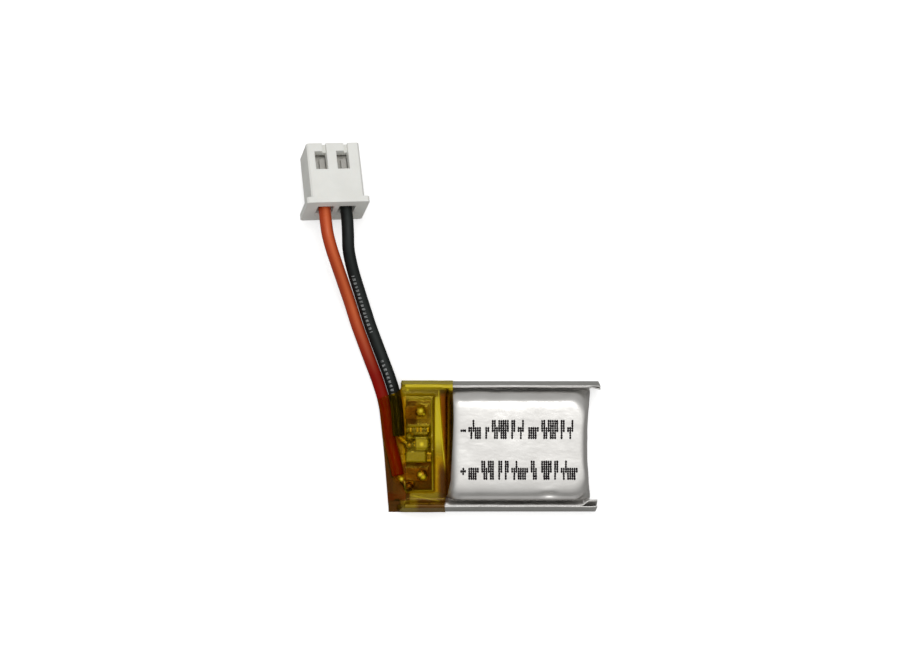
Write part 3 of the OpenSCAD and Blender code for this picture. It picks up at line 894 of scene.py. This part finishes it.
def add_inner_seals(points, faces):
    for side in (-1, 1):
        stations = side_stations(ear_end(side))
        first = len(points)
        for x in stations:
            beyond_cup = past(x, CUP_X1 - 0.9, 0.6)
            foot = INNER_FOOT + (SEAL_EDGE[side] - SEAL_BEND - INNER_FOOT) * beyond_cup
            points += seal_section(x, side, LAMINATE_T, foot)
        columns = (len(points) - first) // len(stations)
        faces += grid_faces(len(stations), columns, first=first)


def add_terrace(points, faces):
    """The sheet that the board lies on, raised over the tabs and pressed flat at its edges."""
    first = len(points)
    xs = np.linspace(SIDE_X0, CUP_X0 + 0.25, 16)
    ys = np.linspace(-TERRACE_HALF, TERRACE_HALF, 43)
    for x in xs:
        for y in ys:
            edge = before(abs(y), TERRACE_HALF, 0.35)
            rise = (TERRACE_Z - CUP_Z) * edge
            points.append((x, y, CUP_Z + rise + 0.012 * edge * wobble(x, y, 0, 1.5, 6.0)))
    faces += grid_faces(len(xs), len(ys), first=first)


def held_back(point):
    """Keeps the flat plate from passing the line where it turns up into the cup's folded end."""
    x, y, z = point
    if z > SEAL_Z or abs(y) > OUTER_FOOT:
        return point
    return min(x, CUP_X1 - 0.12 - PULLED_IN * max(1 - (y / CUP_HALF) ** 2, 0)), y, z


def make_back():
    """The back's sheet: one long seal, the flat plate that bulges down, and the other seal."""
    points = []
    stations = side_stations(EAR_X)
    for x in stations:
        row = seal_section(min(x, ear_end(-1)), -1, 0.0, OUTER_FOOT)[::-1]
        under_cup = past(x, CUP_X0, 0.9) * before(x, 10.9, 0.9)
        for y in np.linspace(-6.2, 6.2, 32):
            bulge = under_cup * before(abs(y), 6.3, 0.8)
            row.append((x, y, SEAL_Z * (1 - bulge) + 0.012 * bulge * (1 + wobble(x, y, 0, 3.0, 12.0))))
        row += seal_section(x, 1, 0.0, OUTER_FOOT)
        points += [held_back(point) for point in row]
    columns = len(points) // len(stations)
    return laminate_sheet("pouch_back", points, grid_faces(len(stations), columns))


pouch_cup = make_cup()
pouch_back = make_back()


# ---- Print on the cup ----

# The print's dots: their pitch and half sizes, and how far they stand off the cup
DOT_PITCH = 0.27
DOT_W = 0.124
DOT_H = 0.178
INK_LIFT = 0.012
# Each row's top Y, its sign, and how many marks each of its groups has
ROWS_OF_MARKS = ((2.85, "-", (2, 6, 7)), (-1.80, "+", (4, 6, 6)))
PRINT_X0 = -3.40
SIGN_WIDTH = 0.90
MARK_PITCH = 0.74
BAR_PITCH = MARK_PITCH / 3
GROUP_GAP = 0.46
# The rows of dots that a full, a high, a low and a short bar span
BAR_KINDS = ((0, 8), (0, 5), (3, 8), (3, 5))


def surface_of(*things):
    """One searchable surface made of the evaluated meshes of several objects, in metres."""
    graph = bpy.context.evaluated_depsgraph_get()
    graph.update()
    points, faces = [], []
    for thing in things:
        mesh = thing.evaluated_get(graph).to_mesh()
        first = len(points)
        points += [v.co.copy() for v in mesh.vertices]
        faces += [[first + i for i in polygon.vertices] for polygon in mesh.polygons]
        thing.evaluated_get(graph).to_mesh_clear()
    return BVHTree.FromPolygons(points, faces)


def height_above(surface, x, y, otherwise=0.0):
    """Height in millimetres of the highest point of a surface above x, y."""
    hit = surface.ray_cast(Vector((x * MM, y * MM, 0.02)), Vector((0, 0, -1)))[0]
    return otherwise if hit is None else hit.z / MM


def bar_dots(number):
    """Dots of one printed mark: two or three upright bars, as in a postal bar code."""
    dots = []
    for bar in range(2 + (number * 5 % 7 > 2)):
        low, high = BAR_KINDS[(number * 3 + bar * 5 + number * bar) % 7 % 4]
        dots += [(bar, row) for row in range(low, high)]
    return dots


def sign_dots(sign):
    flat = [(column, 4) for column in range(3)]
    return flat + [(1, 3), (1, 5)] if sign == "+" else flat


def marks():
    """Where every printed dot lies on the cup."""
    number = 0
    for top, sign, groups in ROWS_OF_MARKS:
        for column, row in sign_dots(sign):
            yield PRINT_X0 + column * DOT_PITCH * 0.8, top - row * DOT_PITCH
        start = PRINT_X0 + SIGN_WIDTH
        for group in groups:
            for _ in range(group):
                number += 1
                for bar, row in bar_dots(number):
                    yield start + bar * BAR_PITCH, top - row * DOT_PITCH
                start += MARK_PITCH
            start += GROUP_GAP


def make_print():
    surface = surface_of(pouch_cup)
    points, faces = [], []
    sides = 8
    for number, (x, y) in enumerate(marks()):
        x += 0.02 * wobble(x, y, 0, 0.3, 1.0)
        y += 0.02 * wobble(x, y, 0, 0.3, 5.0)
        size = 1 + 0.14 * wobble(x, y, number, 0.4, 9.0)
        z = height_above(surface, x, y, CELL_TOP) + INK_LIFT
        first = len(points)
        for k in range(sides):
            angle = 2 * math.pi * (k + 0.5) / sides
            points.append((x + size * DOT_W * math.cos(angle), y + size * DOT_H * math.sin(angle), z))
        faces.append([first + k for k in range(sides)])
    thing = mesh_object("printed_marks", points, faces, smooth=False)
    thicken(thing, INK_LIFT * 0.6)
    apply_modifiers(thing)
    finish_piece(thing, INK, "ink")


make_print()


# ---- Tape ----

tape_low, tape_high = box_mm("kapton_wrap")
TAPE_T = 0.05
# The draped film: the step it is worked out in, the radius it bends to, and its gap to what is under it
DRAPE_STEP = 0.05
DRAPE_BEND = 0.5
DRAPE_GAP = 0.03
# Where the film turns down over each seal's top edge, and how far out it stands at the foot
RIB_Y = {1: 7.0, -1: 7.08}
SKIRT_Y = {1: 7.36, -1: 7.91}
TAPE_FOOT_Z = 0.05
# The CAD's pieces that it is draped over, besides the pouch, the leads and their strands
ON_TERRACE = (
    "circuit_board", "cell_pad_plates", "lead_pads", "protection_ic", "protection_ic_legs", "mosfet_chip",
    "chip_resistors", "chip_capacitor", "chip_end_caps", "cell_tab_solder", "lead_solder_joints",
    "positive_tab", "negative_tab",
)


def drape_map():
    """Heights of a stiff film pressed over everything on the terrace. It clings to flats and
    outer edges, and rolls over inner corners like a ball of radius DRAPE_BEND."""
    under = surface_of(
        pouch_cup, pouch_back, red_lead, black_lead, conductor_strands,
        *(frame["nodes"][n] for n in ON_TERRACE),
    )
    xs = np.arange(tape_low[0] - 1.0, tape_high[0] + 1.0, DRAPE_STEP)
    ys = np.arange(-RIB_Y[-1] - 0.5, RIB_Y[1] + 0.5, DRAPE_STEP)
    heights = np.array([[height_above(under, x, y, 0.02) for x in xs] for y in ys])
    heights = np.maximum(heights, tip_floor(xs[None, :]))
    reach = int(round(DRAPE_BEND / DRAPE_STEP))
    ball = [
        (i, j, DRAPE_STEP * math.sqrt(reach ** 2 - i * i - j * j))
        for i in range(-reach, reach + 1) for j in range(-reach, reach + 1) if i * i + j * j <= reach ** 2
    ]
    lifted = shift_and_keep(heights, ball, 1)
    closed = shift_and_keep(lifted, ball, -1)
    # along the ribs it goes round the seals' sharp top edges rather than through them
    square = [(i, j, 0.0) for i in (-1, 0, 1) for j in (-1, 0, 1)]
    grown = np.where(np.abs(ys)[:, None] > 6.2, shift_and_keep(heights, square, 1), 0.0)
    return xs, ys, np.maximum(blurred(blurred(closed)), grown) + TAPE_T + DRAPE_GAP


def tip_floor(x):
    """Past the board the film comes down to meet the film underneath."""
    return 0.08 + 0.9 * past(x, tape_low[0] - 0.3, 2.4)


def shift_and_keep(heights, ball, sign):
    """Grey-scale dilation (sign 1) or erosion (sign -1) of a height map by a ball."""
    reach = max(i for i, j, z in ball)
    padded = np.pad(heights, reach, mode="edge")
    rows, columns = heights.shape
    best = np.full(heights.shape, -sign * np.inf)
    for i, j, z in ball:
        part = padded[reach + i:reach + i + rows, reach + j:reach + j + columns] + sign * z
        best = np.maximum(best, part) if sign > 0 else np.minimum(best, part)
    return best


def blurred(heights):
    padded = np.pad(heights, 1, mode="edge")
    rows, columns = heights.shape
    weights = [(i, j, (1, 2, 1)[i] * (1, 2, 1)[j]) for i in range(3) for j in range(3)]
    return sum(w * padded[i:i + rows, j:j + columns] for i, j, w in weights) / 16


def tape_left(y):
    """X of the tape's left edge. Past the board it hugs the red lead, and it stops short where
    the leads come out."""
    edge_y = (-7.4, -6.0, -3.0, 0.0, 2.0, 4.0, 5.15, 5.45, 6.1, 6.5, 7.6)
    edge_x = (-11.85, -11.95, -12.2, -12.45, -12.66, -12.86, -13.1, -12.6, -10.7, -10.4, -10.3)
    return np.interp(y, edge_y, edge_x)


def tape_right(y):
    """X of the tape's right edge, which runs slightly askew across the cup's wall."""
    edge_y = (-7.9, -6.8, -6.3, -5.6, -4.0, 0.5, 3.0, 6.0, 7.6)
    edge_x = (-5.25, -5.3, -5.2, -4.95, -4.65, -4.42, -4.32, -4.38, -4.35)
    return np.interp(y, edge_y, edge_x)


def tape_side(side):
    """The film's section from the top of one rib down and round to the underside."""
    rib_y, skirt_y, rib_z = RIB_Y[side], SKIRT_Y[side], SEAL_TOP + 0.06
    rows = []
    for t in np.linspace(0, 1, 26)[1:]:
        rows.append((side * (rib_y + (skirt_y - rib_y) * t), rib_z + (0.5 - rib_z) * t))
    for a in np.radians(np.linspace(0, 90, 7)[1:]):
        rows.append((side * (skirt_y - 0.4 + 0.4 * math.cos(a)), 0.5 - 0.45 * math.sin(a)))
    return rows


def tape_rows():
    """The rows of the film's section, from the top of one rib across the board and round under
    the pack: (Y, Z or None for the draped part)."""
    across = np.concatenate([
        np.linspace(-RIB_Y[-1], -5.6, 42), np.arange(-5.52, 5.52, 0.085), np.linspace(5.6, RIB_Y[1], 42),
    ])
    under = np.linspace(SKIRT_Y[1] - 0.5, 0.5 - SKIRT_Y[-1], 60)
    rows = [(y, None) for y in across]
    return rows + tape_side(1) + [(y, TAPE_FOOT_Z) for y in under] + tape_side(-1)[::-1]


def film_point(x, y, z, base_z):
    """One point of the film, with the crinkles that wrapping leaves. base_z is None on top."""
    past_board = before(x, SIDE_X0 - 0.15, 1.0)
    if base_z is None:
        rib = past(abs(y), 6.2, 0.5)
        z = z * (1 - rib * past_board) + (0.35 + 0.4 * (7.3 - abs(y))) * rib * past_board
        crinkle = 0.025 + 0.05 * rib * before(x, -8.6, 1.5)
        z += crinkle * wobble(x, y, 0, 0.8, 2.5) + 0.012 * wobble(x, y, 0, 0.35, 4.1)
        if abs(y) < 6:
            z += 0.10 * hill(x, fold_x(y), 0.10) * past(y, -3.6, 2.0)
        return x, y, max(z, TAPE_FOOT_Z + 0.02)
    z = base_z * (1 - past_board) + (TAPE_FOOT_Z + 0.07 * base_z) * past_board
    y = y + 0.03 * wobble(x, y, z, 1.5, 6.6) * (1 if base_z > 0.3 else 0)
    if base_z <= TAPE_FOOT_Z:
        z = TAPE_FOOT_Z
    return x, y, z


def fold_x(y):
    """X of the fold where the film leaves the terrace and climbs the cup's wall."""
    away = 5.0 - y
    return -5.93 + 0.062 * away + 0.0025 * away * away


# Rectangles where the film clings to the tabs and plates, each from its low corner to its high
# corner, and where air is trapped over the chips, with how strong a painted highlight it gets there
PRESSED = (((-9.75, 2.4), (-8.65, 4.9)), ((-9.7, -5.2), (-6.9, -2.2)))
LIFTED = (((-8.5, -0.5), (-7.3, 0.55), 0.45), ((-9.7, -2.0), (-7.6, -0.95), 0.12))
# Lines of painted highlight where the film is drawn tight over the board's and the plates' edges
EDGE_HIGHLIGHT_LINES = (
    ((-6.85, 5.2), (-6.72, -5.35)), ((-9.85, -5.4), (-6.72, -5.35)), ((-9.95, -4.2), (-9.85, -5.4)),
    ((-9.4, 5.2), (-6.85, 5.2)), ((-9.5, 0.75), (-6.9, 0.85)), ((-9.3, 2.1), (-7.2, 2.15)),
)
# Spots of painted highlight: over the solder and the red lead's bare end, with their radii
GLINTS = (
    (-8.05, 3.92, 0.30), (-7.72, 3.52, 0.14), (-8.12, -3.48, 0.24), (-7.78, -3.78, 0.28),
    (-10.3, -3.98, 0.22), (-9.6, 6.35, 0.25), (-7.95, 0.05, 0.38),
)


def line_distance(x, y, start, end):
    """Distance from x, y to the straight line between two points."""
    run = np.subtract(end, start)
    share = np.clip(np.dot((x - start[0], y - start[1]), run) / np.dot(run, run), 0, 1)
    return math.hypot(*(np.array(start) + share * run - (x, y)))


def within(x, y, low, high, blur=0.25):
    """1 inside a rectangle, falling to 0 over blur millimetres round it."""
    across = smoothstep(1 + min(x - low[0], high[0] - x) / blur)
    return across * smoothstep(1 + min(y - low[1], high[1] - y) / blur)


LEAD_LINES = np.vstack([smooth_route(RED_ROUTE), smooth_route(BLACK_ROUTE)])[:, :2]


def film_tones(x, y, z):
    """How brown, how cloudy, how bright and how shiny the film is, each from 0 to 1. The brown holds
    painted shade, and the cloudy and the bright hold painted highlights.
    """
    flap = before(x, SIDE_X0 - 0.1, 0.6)
    lead_gap = np.min(np.hypot(LEAD_LINES[:, 0] - x, LEAD_LINES[:, 1] - y))
    over_leads = before(lead_gap, 0.95, 0.3) * past(z, 0.8, 0.3)
    stuck = flap * (1 - past(z, 0.75, 0.4)) * (1 - over_leads)
    rib = past(abs(y), 6.1, 0.4)
    # painted highlight along the +Y rib; the -Y rib is only made browner
    high_rib = rib * (y > 0) * (1 - flap)
    low_rib = rib * (y < 0)
    margin = past(abs(y), 5.45, 0.25)
    from_fold = x - fold_x(y)
    terrace = (1 - rib) * (1 - margin)
    # darker brown over the cup's wall: partly its real extra layers, partly painted shade
    wall = past(from_fold, 0.08, 0.2)
    # painted highlight: a bright band between the board and the cup's wall
    strip = terrace * past(x, -6.52, 0.10) * (1 - past(from_fold, 0, 0.05)) * past(y, -2.6, 3.6)
    # painted highlight along the fold at the foot of the cup's wall
    crease = (1 - rib) * hill(from_fold, 0.0, 0.07) * past(y, -3.6, 2.0)
    # painted highlight: a bright slanting line near the -Y seal
    slant = hill(y, -5.9 - 0.2 * (x + 9.3), 0.10) * past(x, -9.4, 0.6) * before(x, -5.7, 0.4)
    # painted shade: the film is darkened where it bridges the valley between the cup's wall and the -Y
    # seal
    corner = past(x, -6.3, 0.7) * before(y, -1.6, 1.8) * (1 - rib)
    # darker brown along the board's lower left edge and near its lower left corner
    board_edge = before(x, -9.7, 0.15) * before(y, -1.8, 0.8) * (1 - rib)
    low_corner = before(x, -9.2, 0.3) * before(y, -5.5, 0.3) * (1 - before(y, -6.45, 0.2))
    pressed = max(within(x, y, low, high) for low, high in PRESSED)
    lifted = max(within(x, y, low, high) for low, high, bright in LIFTED)
    # painted highlight over the chips
    lifted_gleam = max(bright * within(x, y, low, high) for low, high, bright in LIFTED)
    # painted highlight lines over the board's and the plates' edges
    edge_highlight = hill(min(line_distance(x, y, *line) for line in EDGE_HIGHLIGHT_LINES), 0.0, 0.07) * (1 - over_leads)
    # painted highlight spots
    glint = max(hill(math.hypot(x - cx, y - cy), 0.0, r) for cx, cy, r in GLINTS)
    if z < 0.8:
        edge_highlight = glint = lifted = lifted_gleam = 0
    stack = max(
        stuck * (0.75 + 0.2 * before(y, 1.0, 5.0)), 0.08 * over_leads,
        low_rib * (0.45 + 0.5 * past(x, -8.9, 0.8)),
        (1 - 0.8 * rib) * wall * (0.70 + 0.28 * before(y, 1.0, 5.0)),
        0.92 * corner, 0.8 * board_edge * (1 - over_leads), 0.3 * pressed, 0.85 * low_corner,
    )
    milky_and_painted_light = max(
        0.10, 0.30 * stuck, 0.72 * rib * (1 - flap), 0.42 * margin, 0.85 * strip, 0.9 * crease,
        0.8 * slant, 0.4 * lifted,
    )
    for factor, share in ((0.95, over_leads), (0.6, wall * (1 - rib)), (0.9, pressed), (0.8, low_corner)):
        milky_and_painted_light *= 1 - factor * share
    milky_and_painted_light = max(milky_and_painted_light * (1 - corner) + 0.35 * corner, 0.5 * edge_highlight, 0.85 * glint)
    gleam = max(0.75 * strip, crease, 0.3 * slant, 0.6 * high_rib, lifted_gleam, 0.35 * edge_highlight, glint)
    shine = (1 - 0.9 * over_leads) * (1 - 0.6 * pressed) * (1 - 0.4 * corner)
    return stack * (1 - max(strip, crease, 0.6 * edge_highlight, glint)), milky_and_painted_light, gleam, shine


def make_tape():
    xs, ys, heights = drape_map()

    def draped(x, y):
        i = np.clip((y - ys[0]) / DRAPE_STEP, 0, len(ys) - 1.001)
        j = np.clip((x - xs[0]) / DRAPE_STEP, 0, len(xs) - 1.001)
        a, b = int(i), int(j)
        u, v = i - a, j - b
        low = heights[a, b] * (1 - v) + heights[a, b + 1] * v
        high = heights[a + 1, b] * (1 - v) + heights[a + 1, b + 1] * v
        return low * (1 - u) + high * u

    points = []
    rows = tape_rows()
    shares = np.linspace(0, 1, 150)
    for y, base_z in rows:
        left, right = float(tape_left(y)), float(tape_right(y))
        for share in shares:
            x = left + (right - left) * share
            z = draped(x, y) if base_z is None else 0.0
            points.append(film_point(x, y, z, base_z))
    columns = len(shares)
    faces = grid_faces(len(rows), columns)
    last = (len(rows) - 1) * columns
    faces += [(last + c, last + c + 1, c + 1, c) for c in range(columns - 1)]
    thing = mesh_object("amber_tape_wrap", points, faces)
    for name, values in zip(("stack", "milky_and_painted_light", "gleam", "shine"), zip(*(film_tones(*p) for p in points))):
        point_attribute(thing, name, values)
    thicken(thing, TAPE_T, 0.0)
    finish_piece(thing, TAPE, "amber_tape", "kapton_wrap")


make_tape()


# ---- The CAD's own pieces ----

# Each node's material and how much its edges are rounded
CAD_FINISHES = {
    "anode_strip": (ANODE, 0), "cathode_strip": (CATHODE, 0), "separator_strips": (SEPARATOR, 0),
    "roll_tape": (ROLL_TAPE, 0), "positive_tab": (ALUMINIUM, 0), "negative_tab": (NICKEL, 0),
    "tab_films": (TAB_FILM, 0), "terrace_insulation": (INSULATION, 0.02), "circuit_board": (BOARD, 0.06),
    "cell_pad_plates": (PLATE, 0.03), "lead_pads": (TIN, 0.015), "protection_ic": (CHIP_BLACK, 0.06),
    "protection_ic_legs": (TIN, 0.02), "mosfet_chip": (CHIP_BLACK, 0.06),
    "chip_resistors": (CHIP_BLACK, 0.04), "chip_capacitor": (CHIP_TAN, 0.04),
    "chip_end_caps": (TIN, 0.04), "cell_tab_solder": (SOLDER, 0),
    "lead_solder_joints": (FLUXED_SOLDER, 0), "crimp_terminals": (CONTACT, 0.03),
}


def finish_cad_nodes():
    for name, (material, edge) in CAD_FINISHES.items():
        node = frame["nodes"][name]
        paint(node, material)
        if edge:
            round_edges(node, edge)


finish_cad_nodes()


# ---- Lights and floor ----

# The floor is white and glows a little for the camera, and is grey in reflections
FLOOR_HALF = 3000.0
FLOOR_AS_SEEN = (0.93, 0.93, 0.93)
FLOOR_AS_REFLECTED = (0.30, 0.30, 0.29)
FLOOR_GLOW = 0.45
# The sky's brightness by height, measured along SKY_AXIS from 0 at the horizon to 1
SKY_AXIS = (0.0, 0.2, 0.98)
SKY = ((0.08, 0.33), (0.72, 0.66), (0.90, 0.92), (0.99, 1.14))


def make_floor():
    corners = [(FLOOR_HALF * x, FLOOR_HALF * y, 0) for x, y in ((-1, -1), (1, -1), (1, 1), (-1, 1))]
    floor = mesh_object("floor", corners, [(0, 1, 2, 3)], smooth=False)
    s = Surface("floor", roughness=0.9, emission_color=(1.0, 1.0, 1.0))
    seen = s.new("LightPath").outputs["Is Camera Ray"]
    s.set(base_color=s.mix(seen, FLOOR_AS_REFLECTED, FLOOR_AS_SEEN))
    s.set(emission_strength=s.math("MULTIPLY", seen, FLOOR_GLOW))
    paint(floor, s.material)


def make_light(name, place, size, power):
    """A rectangular light that faces the middle of the floor."""
    data = bpy.data.lights.new(name, "AREA")
    data.shape = "RECTANGLE"
    data.size, data.size_y = size
    data.energy = power
    light = put_in_scene(name, data)
    light.location = place
    light.rotation_mode = "QUATERNION"
    light.rotation_quaternion = (-Vector(place)).to_track_quat("-Z", "Y")


def make_world():
    """A soft studio: bright overhead and greyer towards the horizon."""
    world = bpy.data.worlds.new("studio")
    bpy.context.scene.world = world
    world.use_nodes = True
    tree = world.node_tree
    place = tree.nodes.new("ShaderNodeTexCoord").outputs["Generated"]
    height = tree.nodes.new("ShaderNodeVectorMath")
    height.operation = "DOT_PRODUCT"
    height.inputs[1].default_value = SKY_AXIS
    tree.links.new(place, height.inputs[0])
    ramp = tree.nodes.new("ShaderNodeValToRGB")
    stops = ramp.color_ramp.elements
    for i, (position, level) in enumerate(SKY):
        stop = stops[i] if i < 2 else stops.new(position)
        stop.position = position
        stop.color = (level, level, 0.99 * level, 1)
    tree.links.new(height.outputs["Value"], ramp.inputs[0])
    tree.links.new(ramp.outputs[0], tree.nodes["Background"].inputs["Color"])


bpy.context.scene.view_settings.view_transform = "Standard"
make_floor()
make_world()
make_light("key", (0.03, 0.19, 0.54), (0.20, 0.30), 0.54)
